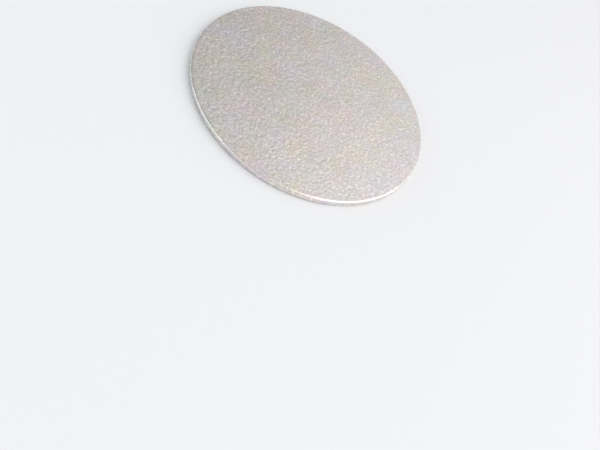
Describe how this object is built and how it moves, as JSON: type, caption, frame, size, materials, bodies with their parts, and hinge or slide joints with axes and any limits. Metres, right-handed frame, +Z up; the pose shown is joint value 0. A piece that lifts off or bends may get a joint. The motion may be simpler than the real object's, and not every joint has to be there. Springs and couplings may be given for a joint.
{
  "type": "cake board",
  "caption": "Thin round board wrapped in embossed silver foil, with soft rounded rim and a pleated foil turn-in under a paper liner, for standing a cake on.",
  "frame": {"origin": "middle of the underside, on the surface that the board rests on", "axes": "+Z up, square to the face; the board is round about it, so +X and +Y are any two directions in the board's plane"},
  "size_m": [0.127, 0.127, 0.0035],
  "materials": {
    "silver_foil": "embossed silver foil laminated on card, sparkling satin",
    "liner_paper": "matt uncoated white paper, glued over the middle of the underside"
  },
  "bodies": {
    "root": {"cake_board": "silver_foil"}
  },
  "joints": []
}
